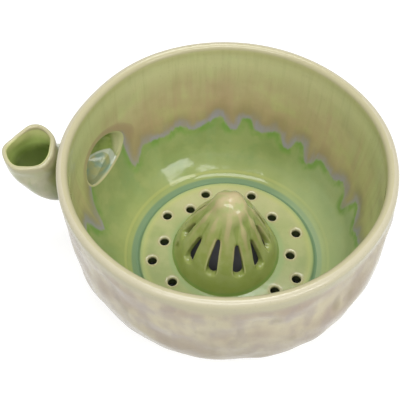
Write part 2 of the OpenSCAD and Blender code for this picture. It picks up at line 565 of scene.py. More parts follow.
def turned_floor():
    """The disc with its rounded edge, pierced by a cutter that leaves a soft rim at each hole. Its
    top is drawn a millimetre at a time, so that the glaze can follow the rims."""
    edge = curve(((GROOVE_R, GROOVE_Z), *FLOOR_EDGE), 10)
    top = [(r / 2, FLOOR_TOP) for r in range(99, 54, -2)] + [(HOLLOW_R, FLOOR_TOP)]
    line = [(GROOVE_R, FOOT_H)] + edge + top + [(HOLLOW_R, FOOT_H), (GROOVE_R, FOOT_H)]
    disc = turn(draw("pierced_floor", line), DISC_STEPS)
    cutter = hole_cutter()
    for x, y in hole_middles():
        pierce(disc, cutter, x, y)
    bpy.data.objects.remove(cutter)
    feel_rims(disc)
    with hands_on(disc):
        bpy.ops.transform.translate(value=(FLOOR_OFF[0] * MM, FLOOR_OFF[1] * MM, 0))
    return disc


def hole_middles():
    """Where the drain holes are, by turns in the outer and the inner row."""
    turns = [(ROW_RADII[i % 2], radians(angle)) for i, angle in enumerate(HOLE_BEARINGS)]
    return [(radius * cos(angle), radius * sin(angle)) for radius, angle in turns]


def hole_cutter():
    """Round cutter whose shoulder leaves a soft rim at the hole."""
    shoulder = [(2.66, 11.0), (2.72, 11.3), (2.86, 11.58), (3.1, 11.8), (3.45, 11.93), (4.3, 12.04)]
    line = [(0, 4), (HOLE_R, 4), (HOLE_R, 10.4)] + shoulder + [(4.3, 13), (0, 13)]
    return turn(draw("hole_cutter", line), 32)


def pierce(disc, cutter, x, y):
    """Cuts one drain hole with a copy of the cutter."""
    placed = twin(cutter, "placed_cutter")
    with hands_on(placed):
        bpy.ops.transform.translate(value=(x * MM, y * MM, 0))
    apply(disc, "BOOLEAN", object=placed, operation="DIFFERENCE", solver="EXACT")
    bpy.data.objects.remove(placed)


# Foot ring


def turned_foot():
    """The ring that the bowl stands on, rounded below and flared where it meets the wall."""
    inner, edge = FOOT_R - FOOT_W, 1.6
    line = [(inner, FOOT_H)] + arc((inner + edge, edge), edge, 180, 270, 6)
    line += arc((FOOT_R - edge, edge), edge, 270, 360, 6)
    line += [(FOOT_R + 0.4, 4), (FOOT_R + edge, FOOT_H)]
    return turn(draw("turned_foot", line + [(inner, FOOT_H)]), DISC_STEPS)


# Dome


def dome_radius(z):
    """Radius of the dome's flank at a height above the floor, and the slope of its normal."""
    along = Vector((cos(CAP_SLOPE), sin(CAP_SLOPE)))
    joint = Vector((0, DOME_H - CAP_R)) + CAP_R * along
    chord = joint - Vector((DOME_R, 0))
    flank_r = chord.dot(chord) / (2 * chord.dot(along))
    centre = joint - flank_r * along
    if z < joint.y:
        reach = sqrt(flank_r**2 - (z - centre.y) ** 2)
        return centre.x + reach, atan2(z - centre.y, reach)
    up = z - (DOME_H - CAP_R)
    reach = sqrt(max(CAP_R**2 - up**2, 0))
    return reach, atan2(up, reach)


# Rows of the dome's cage: height, half width of the slot or flute, and depth of the flute
DOME_ROWS = (
    (0, 0, 0), (0.45, 0, 0), (1.5, 0, 0), (4.5, 0, 0), (8.0, 1.8, 0.1), (11.2, 2.1, 0.4),
    (12.8, 3.1, 0.6), (15.6, 3.4, 0.8), (19, 3.1, 1.0), (23, 2.7, 1.1), (27, 2.1, 1.2),
    (31, 1.7, 1.4), (34.5, 1.1, 1.6), (37.5, 1.4, 1.5), (40.5, 1.6, 1.0), (43.5, 1.6, 0.5),
    (46.2, 1.4, 0.15), (48.3, 0, 0), (50, 0, 0), (51.2, 0, 0), (51.85, 0, 0), (DOME_H, 0, 0),
)

# First and last row of the slots, and how far the lowest rows flare to meet the floor
SLOT_ROWS = (5, 12)
BASE_FLARE = (0.5, 0.2)

# Lowest and highest point of each slot, where it isn't the usual 11.2 to 34.5 mm
SLOT_ENDS = {0: (10, 27.5), 1: (11.5, 33), 2: (11.5, 30), 3: (10, 28.5), 4: (12, 31), 10: (14, 26)}

# Bearing of the first slot, and how far the slots drift off an even spacing, in degrees
SLOT_START = 219
SLOT_DRIFT = 4

# Columns of the cage: six to a slot, from its middle over its edge and shoulder to the rib's crest
COLUMNS = 6 * SLOT_COUNT
COLUMN_STEP = 360 / COLUMNS


def pick_cage(cage, passes):
    """Selects the cage's vertices by their row, column and skin (0 outside, 1 inside)."""
    bpy.ops.mesh.select_mode(type="VERT")
    bpy.ops.mesh.select_all(action="DESELECT")
    mesh = bmesh.from_edit_mesh(cage.data)
    row, column, skin = (mesh.verts.layers.int[name] for name in ("row", "column", "skin"))
    for v in mesh.verts:
        if passes(v[row], v[column], v[skin]):
            v.select_set(True)
    mesh.select_flush(True)
    bmesh.update_edit_mesh(cage.data)


def swing(angle):
    """Turns what is selected round the axis, anticlockwise from above, in degrees."""
    bpy.ops.transform.rotate(
        value=-radians(angle), orient_axis="Z", center_override=(0, 0, 0)
    )


def draw_in(factor):
    """Draws what is selected towards the axis, or away from it, by a factor."""
    bpy.ops.transform.resize(value=(factor, factor, 1), center_override=(0, 0, 0))


def number_cage(cage):
    """Writes each vertex's row, column and skin into the mesh, so that later steps can find it."""
    heights = [row[0] for row in DOME_ROWS]
    for name in ("row", "column", "skin"):
        cage.data.attributes.new(name, "INT", "POINT")
    rows, columns = cage.data.attributes["row"].data, cage.data.attributes["column"].data
    for v in cage.data.vertices:
        z = v.co.z / MM
        rows[v.index].value = min(range(len(heights)), key=lambda k: abs(heights[k] - z))
        columns[v.index].value = round(bearing(v.co) / COLUMN_STEP) % COLUMNS


def drift(i):
    """Degrees by which a slot lies off an even spacing: they were cut by eye."""
    return SLOT_DRIFT * cos(radians(72 * (i % SLOT_COUNT - 2.2)))


def place_columns(cage):
    """Turns each column of the cage to its slot or rib."""
    for c in range(COLUMNS):
        i, part = divmod(c, 6)
        share = (0, 0, 0.25, 0.5, 0.75, 1)[part]
        off = (1 - share) * drift(i) + share * drift(i + 1)
        with hands_on(cage):
            pick_cage(cage, lambda row, column, skin: column == c)
            swing(SLOT_START + off)


def press_flutes(cage):
    """Narrows the columns to the slots' width, row by row, and presses the flutes in."""
    crest = 3 * COLUMN_STEP
    for k, (z, half_width, depth) in enumerate(DOME_ROWS):
        if not depth:
            continue
        r = dome_radius(z)[0]
        edge = degrees(half_width / r) if half_width else COLUMN_STEP
        shoulder = (edge + crest) / 2
        with hands_on(cage):
            for part, off in ((1, edge - COLUMN_STEP), (2, shoulder - 2 * COLUMN_STEP)):
                pick_cage(cage, lambda row, column, skin: row == k and column % 6 == part)
                swing(off)
                pick_cage(cage, lambda row, column, skin: row == k and column % 6 == 6 - part)
                swing(-off)
            for parts, much in (((0,), 1), ((1, 5), 0.72), ((2, 4), 0.22)):
                pick_cage(cage, lambda row, column, skin: row == k and column % 6 in parts)
                draw_in((r - much * depth) / r)


def shape_slots(cage):
    """Moves each slot's rows to its own lowest and highest point, rounds its ends and opens it."""
    first, last = SLOT_ROWS
    low, top = DOME_ROWS[first][0], DOME_ROWS[last][0]
    for i in range(SLOT_COUNT):
        own_low, own_top = SLOT_ENDS.get(i, (low, top))
        for k in range(first, last + 1):
            z = DOME_ROWS[k][0]
            there = own_low + (z - low) * (own_top - own_low) / (top - low)
            for parts in ((0,), (1, 5)):
                rounding = {first: 1.0, last: -0.7}.get(k, 0) if len(parts) == 2 else 0
                lift = there - z + rounding
                near = {(6 * i + part if part < 2 else 6 * i - 1) % COLUMNS for part in parts}
                with hands_on(cage):
                    pick_cage(cage, lambda row, column, skin: row == k and column in near)
                    bpy.ops.transform.translate(value=(0, 0, lift * MM))
                    draw_in(dome_radius(z + lift)[0] / dome_radius(z)[0])
    slot_columns = {0, 1, 5}
    mesh_rows = range(first, last + 1)
    with hands_on(cage):
        pick_cage(
            cage, lambda row, column, skin: row in mesh_rows and column % 6 in slot_columns
        )
        bpy.ops.mesh.select_mode(type="FACE")
        bpy.ops.mesh.delete(type="FACE")


def line_cage(cage):
    """Copies the outer skin and draws it in by the dome's thickness, level where the slots are cut."""
    with hands_on(cage):
        bpy.ops.mesh.duplicate()
        mesh = bmesh.from_edit_mesh(cage.data)
        skin = mesh.verts.layers.int["skin"]
        for v in mesh.verts:
            if v.select:
                v[skin] = 1
        bmesh.update_edit_mesh(cage.data)
        bpy.ops.mesh.flip_normals()
        for k, (z, _, depth) in enumerate(DOME_ROWS):
            r, slope = dome_radius(z)
            level = 1 - max(0, min((z - 35) / 12, 1))
            drawn = r - DOME_T * (level / cos(min(slope, 1.2)) + (1 - level) * cos(slope))
            pick_cage(cage, lambda row, column, inner: row == k and inner == 1)
            if r > 0.5:
                draw_in(max(drawn, 0.02 * r) / r)
            bpy.ops.transform.translate(value=(0, 0, -DOME_T * sin(slope) * (1 - level) * MM))


def close_cage(cage):
    """Bridges both skins round each slot and under the base, and keeps those rims crisp."""
    def rim(columns, rows):
        bpy.ops.mesh.select_mode(type="EDGE")
        bpy.ops.mesh.select_all(action="DESELECT")
        mesh = bmesh.from_edit_mesh(cage.data)
        row, column = mesh.verts.layers.int["row"], mesh.verts.layers.int["column"]
        for e in mesh.edges:
            inside = all(v[row] in rows and v[column] in columns for v in e.verts)
            if len(e.link_faces) == 1 and inside:
                e.select_set(True)
        bmesh.update_edit_mesh(cage.data)

    slot_rows = range(SLOT_ROWS[0], SLOT_ROWS[1] + 1)
    with hands_on(cage):
        for i in range(SLOT_COUNT):
            rim({(6 * i + off) % COLUMNS for off in (-1, 0, 1)}, slot_rows)
            bpy.ops.transform.edge_crease(value=0.45)
            bpy.ops.mesh.bridge_edge_loops()
        rim(range(COLUMNS), (0,))
        bpy.ops.transform.edge_crease(value=1)
        bpy.ops.mesh.bridge_edge_loops()


def fluted_dome():
    """The dome: a cage turned round the axis, fluted, slotted, lined and then smoothed."""
    line = [
        (dome_radius(row[0])[0] + (BASE_FLARE[k] if k < len(BASE_FLARE) else 0), row[0])
        for k, row in enumerate(DOME_ROWS)
    ]
    cage = turn(draw("fluted_dome", line), COLUMNS)
    number_cage(cage)
    place_columns(cage)
    press_flutes(cage)
    shape_slots(cage)
    line_cage(cage)
    close_cage(cage)
    apply(cage, "SUBSURF", levels=2, render_levels=2)
    mark(cage, "knobbly", lambda v: 0.3 + 0.7 * max(0, min((v.co.z / MM - 32) / 8, 1)))
    lumpy(cage, "rolled_knob", 9, 2.0, 0.55, "knobbly")
    push(cage, Vector((0, 0, DOME_H)), (1.6, 0, 0), 46)
    with hands_on(cage):
        bpy.ops.transform.translate(value=(DOME_OFF[0] * MM, DOME_OFF[1] * MM, FLOOR_TOP * MM))
    return cage


# What the glaze reads from the shape


def store(piece, name, values):
    """Keeps one number for each vertex in the mesh, where a glaze can read it by this name."""
    piece.data.attributes.new(name, "FLOAT", "POINT").data.foreach_set("value", values)


def feel_edges(piece, quiet=()):
    """Stores how sharply the surface turns, in 1/mm: more than 0 on a ridge, where glaze runs thin
    and breaks pale, and less than 0 in a hollow, where it pools. Groups at a hidden seam are quiet."""
    mesh = piece.data
    count = len(mesh.vertices)
    place = np.array([v.co for v in mesh.vertices]) / MM
    facing = np.array([v.normal for v in mesh.vertices])
    a, b = np.array([e.vertices[:] for e in mesh.edges]).T
    step = place[b] - place[a]
    square = np.maximum(np.sum(step * step, axis=1), 1e-3)
    bend = np.sum(step * (facing[b] - facing[a]), axis=1) / square
    near = np.maximum(np.bincount(a, minlength=count) + np.bincount(b, minlength=count), 1)
    felt = (np.bincount(a, bend, count) + np.bincount(b, bend, count)) / near
    felt[list(marked(piece, *quiet))] = 0
    for _ in range(2):
        around = (np.bincount(a, felt[b], count) + np.bincount(b, felt[a], count)) / near
        felt = (felt + around) / 2
    store(piece, "turn", np.clip(felt, -2, 2))


# What the glaze does on each ring of the port's edge, inwards: how pale it is on the lower side,
# and how tan, as a number under 0, on the upper side
PORT_BREAKS = ((0, -0.6), (0, -1), (0.1, -1), (1, -0.7), (1, -0.2), (0.3, 0))


def feel_port(wall):
    """Stores how the glaze has run at the port's edge: more than 0 on the lower side, where its
    crest is pale, and less than 0 above the upper side, where the tan glaze has gathered."""
    felt = np.zeros(len(wall.data.vertices))
    inverse = SPOUT_FRAME.inverted()
    for i, (pale, tan) in enumerate(PORT_BREAKS):
        for number in marked(wall, f"port_{i}"):
            local = inverse @ wall.data.vertices[number].co / MM
            low = (PORT_OVAL[4] - local.z + 0.5 * (local.y - PORT_OVAL[3])) / (BORE_R + 2)
            share = max(0, min(0.5 + 0.9 * low, 1))
            felt[number] = share * pale + (1 - share) * tan
    store(wall, "port_edge", felt)


def feel_rims(disc):
    """Stores how far each point of the floor lies outside the nearest drain hole's edge, in mm."""
    middles = hole_middles()
    store(disc, "rim", [
        min(hypot(v.co.x / MM - x, v.co.y / MM - y) for x, y in middles) - HOLE_R
        for v in disc.data.vertices
    ])


def feel_root(piece, seam):
    """Stores how far each point lies from the seam of spout and wall, in mm."""
    place = np.array([v.co for v in piece.data.vertices]) / MM
    away = np.full(len(place), 999.0)
    for point in seam:
        away = np.minimum(away, np.linalg.norm(place - point, axis=1))
    store(piece, "root", away)


# Lower edge of the upper glaze on the inner wall: bearing and height of the points where it turns.
# It follows the real drips where they are seen, and goes on in the same way where they are hidden
RUN_LINE = (
    (0, 36.5), (3, 34.4), (5, 37.5), (7.8, 42.5), (10, 44.5), (12.6, 44), (13.8, 38.5), (15, 35),
    (16.4, 30.5), (17.6, 27.6), (18.6, 29), (19.4, 35), (20.5, 38), (22.5, 40.5), (25, 41.5),
    (27.6, 39.5), (29.6, 36.7), (32, 37), (35, 38), (38, 39.2), (41, 40.2), (43.3, 38), (45, 33),
    (47.4, 31), (49.2, 32), (50.4, 37), (51.6, 41.6), (54, 42), (56, 40), (57.4, 35.6), (59, 33.5),
    (61.2, 33.8), (63, 37), (64.4, 41), (66, 42.3), (69, 40.4), (73, 38.2), (76.5, 38), (78, 42),
    (79.3, 45.4), (81.5, 46.2), (83.7, 45), (84.8, 40.5), (86, 37.3), (88.5, 37.2), (90.4, 39.5),
    (92, 44.5), (94, 46.7), (96, 45.2), (99, 42.5), (103, 40), (106.5, 38.4), (109.4, 39.4),
    (111.6, 42), (113.6, 43.2), (116, 42.4), (119.4, 39.8), (121.5, 39.2), (125, 39.8), (130, 40.4),
    (133.3, 40.6), (135, 38.6), (137, 35.4), (139, 32.4), (140.6, 31.6), (141.6, 33), (142.2, 36),
    (142.6, 42), (142.9, 50), (144.4, 58), (156, 62), (166, 58), (169, 53), (171.5, 46.5),
    (173.5, 41), (174.8, 35), (176.3, 29), (178, 27.2), (179.6, 27), (181.4, 29.5), (182.8, 33.5),
    (183.8, 40), (185, 45), (190, 45), (199, 38), (205, 33), (210, 37), (214, 42), (220, 44),
    (226, 39), (232, 32), (238, 34), (243, 41), (250, 43), (256, 38), (262, 33), (268, 35), (273, 41),
    (280, 43), (287, 39), (293, 33), (299, 34), (306, 41), (314, 42), (321, 38), (327, 36), (333, 42),
    (337, 46), (342, 48), (346, 45), (351.4, 40.5), (355, 39), (360, 36.5),
)

# Millimetres round the inner wall to a degree, at the height of that edge
RUN_DEGREE = 1.4


def feel_run(wall):
    """Stores how far each point of the wall lies above the edge of the upper glaze, in mm, or below
    it as a number under 0."""
    around, height = np.array([(bearing(v.co), v.co.z / MM) for v in wall.data.vertices]).T
    away = np.full(len(around), 999.0)
    for (start, low), (end, high) in zip(RUN_LINE, RUN_LINE[1:]):
        x, y = ((around - start + 180) % 360 - 180) * RUN_DEGREE, height - low
        across, up = (end - start) * RUN_DEGREE, high - low
        share = np.clip((x * across + y * up) / (across**2 + up**2), 0, 1)
        away = np.minimum(away, np.hypot(x - share * across, y - share * up))
    store(wall, "run", away * np.sign(height - np.interp(around, *np.array(RUN_LINE).T)))


# Glazes and clay


def paint(code):
    """Linear colour of an sRGB hex value."""
    parts = [int(code[i : i + 2], 16) / 255 for i in (1, 3, 5)]
    linear = [c / 12.92 if c <= 0.04045 else ((c + 0.055) / 1.055) ** 2.4 for c in parts]
    return (*linear, 1)


def add(tree, kind, values=None, **settings):
    """Adds a node with its settings and gives its outputs. Values fill its sockets, by name or
    number, with a number, a colour or another node's output."""
    node = tree.nodes.new("ShaderNode" + kind)
    for key, value in settings.items():
        setattr(node, key, value)
    for key, value in (values or {}).items():
        if isinstance(value, bpy.types.NodeSocket):
            tree.links.new(value, node.inputs[key])
        else:
            node.inputs[key].default_value = value
    return node.outputs


def coat(tree, under, over, *where, share=1.0):
    """Lays one colour over another, as hex values or outputs, and share is the most that it covers.
    Each (value, low, high) brings it in smoothly as the value goes from low to high, from 0 or from
    a fourth number. The value may be noise, as (coordinates, size of its lumps in mm, detail)."""
    cover = share
    for value, low, high, *least in where:
        if isinstance(value, tuple):
            place, size, detail = value
            value = add(tree, "TexNoise", {"Vector": place, "Scale": 1 / size, "Detail": detail})[0]
        span = {"Value": value, "From Min": low, "From Max": high, "To Min": least[0] if least else 0}
        fade = add(tree, "MapRange", span, interpolation_type="SMOOTHSTEP")[0]
        cover = add(tree, "Math", {0: fade, 1: cover}, operation="MULTIPLY")[0]
    under, over = (paint(c) if isinstance(c, str) else c for c in (under, over))
    return add(tree, "Mix", {0: cover, 6: under, 7: over}, data_type="RGBA")[2]


def new_finish(name):
    """An empty material, its tree, and its surface's place in millimetres, whole and split."""
    made = bpy.data.materials.new(name)
    made.use_nodes = True
    tree = made.node_tree
    tree.nodes.clear()
    place = add(tree, "TexCoord")["Object"]
    mm = add(tree, "VectorMath", {0: place, 1: (1000, 1000, 1000)}, operation="MULTIPLY")[0]
    return made, tree, mm, add(tree, "SeparateXYZ", {0: mm})


def round_the_bowl(tree, x, y, z, squeeze):
    """Coordinates that follow the wall: round it in millimetres, and up it squeezed so that noise
    runs down in streaks. Also gives the direction from the axis, split."""
    flat = add(tree, "CombineXYZ", {0: x, 1: y})[0]
    outwards = add(tree, "VectorMath", {0: flat}, operation="NORMALIZE")[0]
    unrolled = add(tree, "VectorMath", {0: outwards, 1: (80, 80, 80)}, operation="MULTIPLY")[0]
    squeezed = add(tree, "Math", {0: z, 1: squeeze}, operation="MULTIPLY")[0]
    low = add(tree, "CombineXYZ", {2: squeezed})[0]
    where = add(tree, "VectorMath", {0: unrolled, 1: low}, operation="ADD")[0]
    return where, add(tree, "SeparateXYZ", {0: outwards})


def fire(made, tree, mm, colour, rough=0.1, ripple=0.05):
    """Ends a finish: iron specks, the slow ripple of a melted surface, and its gloss.
    Real specks are 0.2 to 0.5 mm across, and are drawn at 0.9 mm so that they show."""
    spotted = coat(tree, colour, "#8e8a58", ((mm, 0.9, 3), 0.62, 0.75), share=0.25)
    ripples = add(tree, "TexNoise", {"Vector": mm, "Scale": 1 / 4.5, "Detail": 2})[0]
    bump = add(tree, "Bump", {"Height": ripples, "Distance": ripple * MM * 4, "Strength": 0.6})[0]
    gloss = {"Base Color": spotted, "Roughness": rough, "IOR": 1.5, "Normal": bump}
    add(tree, "OutputMaterial", {0: add(tree, "BsdfPrincipled", gloss)[0]})
    return made


def tan_upper_coat(tree, mm, z, where, outwards, over):
    """The olive and tan glaze round the rim, streaked downwards, and browner where it is thick."""
    streak = {"Vector": where, "Scale": 1 / 2.4, "Detail": 3, "Roughness": 0.6}
    olive = coat(tree, "#c8c68a", "#dde1aa", (z, 45, 97))
    warm = coat(tree, "#c3b087", "#dddca8", (z, 45, 97))
    upper = coat(tree, olive, warm, (outwards[1], -0.1, 0.85), ((mm, 16, 3), 0.2, 0.55))
    upper = coat(tree, upper, "#c4a188", ((where, 8, 2), 0.45, 0.68), (z, 92, 66), share=0.35)
    upper = coat(tree, upper, "#b0b478", (add(tree, "TexNoise", streak)[0], 0.45, 0.75), share=0.2)
    upper = coat(tree, upper, "#a8946c", ((mm, 16, 2), 0.5, 0.7), (z, 84, 66), share=0.22)
    return coat(tree, upper, "#9c8f68", (over, 13, 2), share=0.65)


def green_lower_coat(tree, mm, z, where, outwards):
    """The green glaze below, with drifts of yellow, blue-green where it fills the groove, and paler
    with painted light on the +X side.
    """
    lower = coat(tree, "#96a668", "#a2b072", ((mm, 16, 3), 0.35, 0.65))
    lower = coat(tree, lower, "#90b07a", ((where, 8, 2), 0.5, 0.72), share=0.2)
    lower = coat(tree, lower, "#b3b878", ((mm, 12, 3), 0.52, 0.7), share=0.35)
    lower = coat(tree, lower, "#8aa468", ((mm, 12, 3), 0.45, 0.3), share=0.4)
    lower = coat(tree, lower, "#b3bc74", (z, 21, 13), share=0.5)
    lower = coat(tree, lower, "#7d9a78", (z, 11.6, 10.8), share=0.9)
    lower = coat(tree, lower, "#c0c57c", (z, 14.6, 13.9), (z, 12.7, 13.3), share=0.6)
    # Painted light: paler and greener on the +X side, the right as seen from the front
    return coat(tree, lower, "#bccda0", (outwards[0], 0.4, 0.95), share=0.45)


def drip_edge(tree, mm, where, over, base):
    """What shows where the upper glaze has run into the lower one: an emerald seam under the
    drips, a patchy lavender line on their edge and a grey haze above."""
    base = coat(
        tree, base, "#7fa652", (over, -6.5, -1.8), (over, 0.9, -1.0),
        ((mm, 9, 2), 0.4, 0.62, 0.353), share=0.85,
    )
    lumps = add(tree, "TexNoise", {"Vector": mm, "Scale": 1 / 8, "Detail": 1})[0]
    spread = add(tree, "Math", {0: lumps, 1: -6, 2: over}, operation="MULTIPLY_ADD")[0]
    base = coat(
        tree, base, "#a5a3ab", (over, -1.3, 0.7), (spread, 2.6, -2.4),
        ((where, 6, 2), 0.34, 0.6, 0.5), share=0.9,
    )
    return coat(
        tree, base, "#a29d97", (over, 0.5, 2.5), (over, 9, 3.5), ((where, 9, 2), 0.42, 0.66),
        share=0.4,
    )


def inside_glaze():
    """Two runny glazes fired over each other on the inside, glossy as glass: an olive and tan one
    that has run down in drips over a streaky green one."""
    made, tree, mm, (x, y, z) = new_finish("runny_glaze_inside")
    where, outwards = round_the_bowl(tree, x, y, z, 0.07)
    waves = add(tree, "TexNoise", {"Vector": where, "Scale": 1 / 2.6, "Detail": 3})[0]
    wavy = add(tree, "Math", {0: waves, 1: 3.2, 2: -1.6}, operation="MULTIPLY_ADD")[0]
    run = add(tree, "Attribute", attribute_name="run")["Fac"]
    over = add(tree, "Math", {0: run, 1: wavy}, operation="ADD")[0]
    upper = tan_upper_coat(tree, mm, z, where, outwards, over)
    lower = green_lower_coat(tree, mm, z, where, outwards)
    base = coat(tree, lower, upper, (over, -1.0, 1.4))
    base = drip_edge(tree, mm, where, over, base)

    port = add(tree, "Attribute", attribute_name="port_edge")["Fac"]
    base = coat(tree, base, "#b0947a", (port, -0.05, -1.1), share=0.6)
    base = coat(tree, base, "#aba564", (z, 92, 96), share=0.3)
    base = coat(tree, base, "#c4bd98", (z, 96.6, 98.4))
    base = coat(tree, base, "#d2cb9e", (port, 0.2, 0.9))
    return fire(made, tree, mm, base, rough=0.09, ripple=0.03)


def outside_glaze():
    """The same upper glaze, fired thick over a white slip on the outside: cream with soft lavender
    and beige mottles, yellower where it is thin at the lip."""
    made, tree, mm, (x, y, z) = new_finish("mottled_cream_glaze_outside")
    where = round_the_bowl(tree, x, y, z, 0.6)[0]
    base = coat(tree, "#baa992", "#d6cba8", ((where, 13, 1.5), 0.34, 0.66))
    base = coat(tree, base, "#c6c098", ((where, 24, 2), 0.5, 0.66), share=0.4)
    base = coat(tree, base, "#ae9e94", ((where, 6, 1.5), 0.42, 0.74), share=0.6)
    base = coat(tree, base, "#998d6b", ((where, 10, 1), 0.56, 0.78), share=0.6)
    base = coat(tree, base, "#a49577", (z, 78, 28), share=0.85)
    # Painted shade: darker towards the left and right flanks, as seen from the front
    painted_shade_sideways = add(tree, "Math", {0: x}, operation="ABSOLUTE")[0]
    base = coat(tree, base, "#ab9d74", (painted_shade_sideways, 46, 74), share=0.35)
    waves = add(tree, "TexNoise", {"Vector": where, "Scale": 1 / 12, "Detail": 2})[0]
    wavy = add(tree, "Math", {0: waves, 1: 7, 2: z}, operation="MULTIPLY_ADD")[0]
    base = coat(tree, base, "#c6bf98", (wavy, 93.5, 99.5))
    base = coat(tree, base, "#c5bda2", (z, 97.8, 99.5))
    root = add(tree, "Attribute", attribute_name="root")["Fac"]
    # Greener glaze gathered round the spout's root, and painted shade in that crease
    base = coat(tree, base, "#8a9350", (root, 9, 0.5), share=0.75)
    ridge = add(tree, "Attribute", attribute_name="turn")["Fac"]
    base = coat(tree, base, "#9f9276", (ridge, -0.01, -0.07), share=0.6)
    base = coat(tree, base, "#d3cdb0", (ridge, 0.02, 0.09), share=0.4)
    return fire(made, tree, mm, base, rough=0.2, ripple=0.08)


def spout_glaze():
    """Cream glaze on the spout, greener where it has gathered in the crease against the wall, and
    darker there with painted shade.
    """
    made, tree, mm, (_, _, z) = new_finish("cream_glaze_spout")
    drawn = add(tree, "VectorMath", {0: mm, 1: (1, 1, 0.25)}, operation="MULTIPLY")[0]
    base = coat(tree, "#bcbd98", "#ccc9a6", ((mm, 8, 3), 0.35, 0.65))
    base = coat(tree, base, "#b3bd8a", ((drawn, 3.5, 2), 0.5, 0.7), share=0.6)
    base = coat(tree, base, "#b2ad90", (z, 56, 42), share=0.5)
    base = coat(tree, base, "#c6cc92", (z, 66, 74), share=0.5)
    root = add(tree, "Attribute", attribute_name="root")["Fac"]
    # Greener glaze gathered in the crease against the wall, and painted shade there
    base = coat(tree, base, "#7a8840", (root, 18, 9), share=0.8)
    ridge = add(tree, "Attribute", attribute_name="turn")["Fac"]
    base = coat(tree, base, "#b39c80", (ridge, -0.02, -0.1), share=0.6)
    base = coat(tree, base, "#c5c09a", (z, 74.5, 79))
    return fire(made, tree, mm, base, rough=0.15)


def bore_glaze():
    """The green glaze inside the spout and the port, blue-green where it has pooled low down, with
    painted shade deep in the bend and painted light up towards the mouth.
    """
    made, tree, mm, (x, y, z) = new_finish("pooled_green_glaze_bore")
    base = coat(tree, "#889d50", "#a2b268", ((mm, 7, 2), 0.35, 0.65))
    # Painted shade: darker low in the bend, out towards the spout's far wall
    base = coat(tree, base, "#78884a", (x, -101, -108), (z, 68, 63))
    # Painted light: paler up towards the mouth, where more light falls in
    base = coat(tree, base, "#c8d986", (z, 66, 71.5))
    base = coat(tree, base, "#dfe39e", (z, 72, 79))

    # The pool in the port, with its arched surface. A painted highlight runs along that surface, wider
    # towards the bowl, and the pool is painted lighter towards the front as painted light
    port_side = (x, -94, -90)
    pool = coat(tree, "#9eb7a0", "#c6c68e", ((mm, 7, 2), 0.4, 0.66))
    pool = coat(tree, pool, "#cbcb9c", (y, 33, 26), share=0.8)
    off_middle = add(tree, "Math", {0: x, 1: 74}, operation="ADD")[0]
    arch = add(tree, "Math", {0: off_middle, 1: 2}, operation="POWER")[0]
    level = add(tree, "Math", {0: arch, 1: 0.03, 2: z}, operation="MULTIPLY_ADD")[0]
    base = coat(tree, base, pool, port_side, (level, 48.3, 47.8))
    end = {"Value": x, "From Min": -74.5, "From Max": -70, "To Max": 1.7}
    highlight_widening = add(tree, "MapRange", end, interpolation_type="SMOOTHSTEP")[0]
    highlight_lower_edge = add(tree, "Math", {0: highlight_widening, 1: level}, operation="ADD")[0]
    line = (level, 49.0, 48.3), (highlight_lower_edge, 47.1, 47.8)
    # Painted highlight: a pale line along the pool's arched surface
    base = coat(tree, base, "#e2e8da", port_side, *line, share=0.8)

    # Painted light: the tunnel's end by the port painted pale above the pool, where it faces the light
    base = coat(tree, base, "#d3d1a4", (x, -69.6, -66.4), (z, 46, 48.5), share=0.85)
    port = add(tree, "Attribute", attribute_name="port_edge")["Fac"]
    base = coat(tree, base, "#d2cb9e", (port, 0.2, 0.9))
    base = coat(tree, base, "#bfb790", (z, 79.6, 81.4))
    return fire(made, tree, mm, base)


def floor_glaze():
    """Yellow-green glaze on the strainer floor, pale where it has drawn back from the holes and
    blue-green where it runs into the groove, with painted light at the back, painted shade at the
    front and painted shade in the holes."""
    made, tree, mm, (x, y, z) = new_finish("yellow_green_glaze_floor")
    flat = add(tree, "CombineXYZ", {0: x, 1: y})[0]
    reach = add(tree, "VectorMath", {0: flat, 1: (*FLOOR_OFF, 0)}, operation="DISTANCE")["Value"]
    rim = add(tree, "Attribute", attribute_name="rim")["Fac"]
    base = coat(tree, "#a5b078", "#b6bb86", ((mm, 13, 3), 0.35, 0.65))
    # Painted light: the back of the floor paler. Painted shade: the front greener and darker, as the
    # dome's shadow
    base = coat(tree, base, "#d0cd9e", (y, 5, 42), share=0.6)
    base = coat(tree, base, "#a9b676", (y, -15, -50), share=0.5)
    base = coat(tree, base, "#c3c782", (reach, 46, 50), share=0.6)
    base = coat(tree, base, "#a9bd86", (reach, 49.2, 50.6), share=0.5)
    base = coat(tree, base, "#7d9a78", (reach, 50.8, 52.4))
    base = coat(tree, base, "#9db47c", (reach, 36, 33), share=0.7)
    base = coat(tree, base, "#c2a88a", (rim, 2.4, 1.5), share=0.3)
    base = coat(tree, base, "#d0cba8", (rim, 1.3, 0.7), share=0.85)
    # Painted shade: the walls of the drain holes painted dark olive
    base = coat(tree, base, "#4a5430", (z, 11.2, 9.5), (rim, 1.2, 0.6))
    return fire(made, tree, mm, base, rough=0.12, ripple=0.02)


